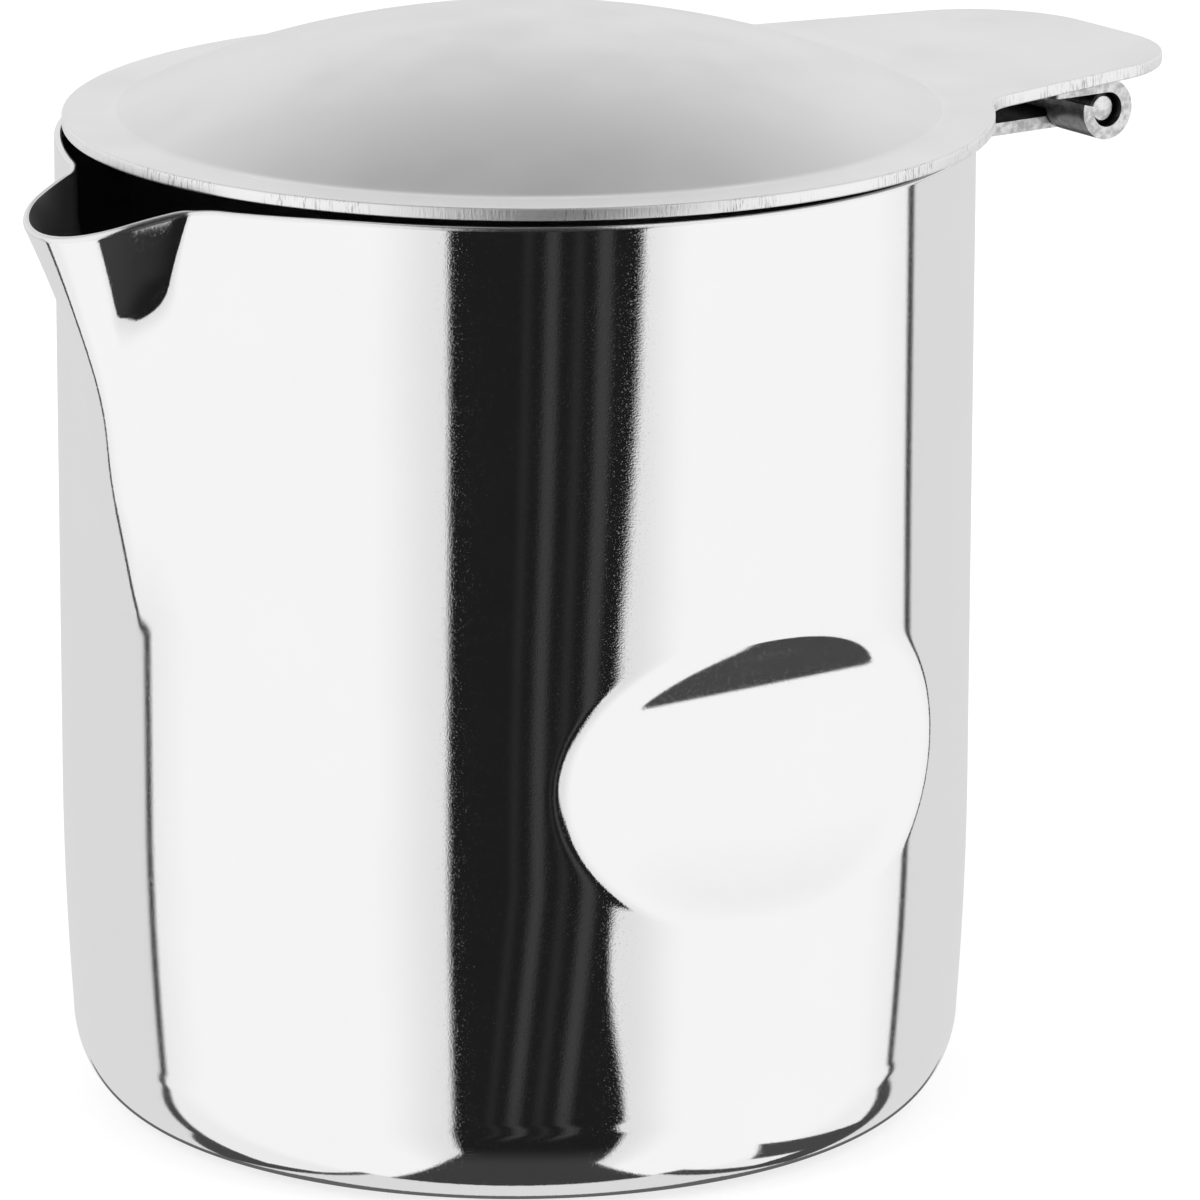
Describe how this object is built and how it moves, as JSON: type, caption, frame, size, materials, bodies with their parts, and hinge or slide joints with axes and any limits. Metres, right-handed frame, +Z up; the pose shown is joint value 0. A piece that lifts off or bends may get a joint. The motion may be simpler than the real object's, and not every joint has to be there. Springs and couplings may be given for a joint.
{
  "type": "lidded milk jug",
  "caption": "Round stainless steel milk jug with a pressed spout, thumb dimples and a domed lid that opens on a rear hinge by its thumb tab.",
  "frame": {"origin": "centre of the base, on the surface that the jug stands on", "axes": "+Z up; the spout points along -X and the lid hinge lies along +X; the hinge pin lies along Y; the jug is symmetric about the XZ plane"},
  "size_m": [0.1054, 0.075, 0.0889],
  "materials": {
    "polished_steel": "mirror polished stainless steel",
    "satin_steel": "satin stainless steel, bright at the cut edges",
    "hinge_steel": "plain rolled stainless steel strip",
    "pin_steel": "cut wire with a turned end"
  },
  "bodies": {
    "jug": {"jug_body": "polished_steel", "body_hinge_leaf": "hinge_steel", "hinge_pin": "pin_steel"},
    "lid_assembly": {"lid": "satin_steel", "lid_hinge_leaf": "hinge_steel"}
  },
  "joints": [
    {"name": "lid_hinge", "type": "hinge", "parent": "jug", "child": "lid_assembly", "pos_m": [0.0498, 0, 0.0779], "axis": [0, 1, 0], "range_deg": [0, 168]}
  ]
}
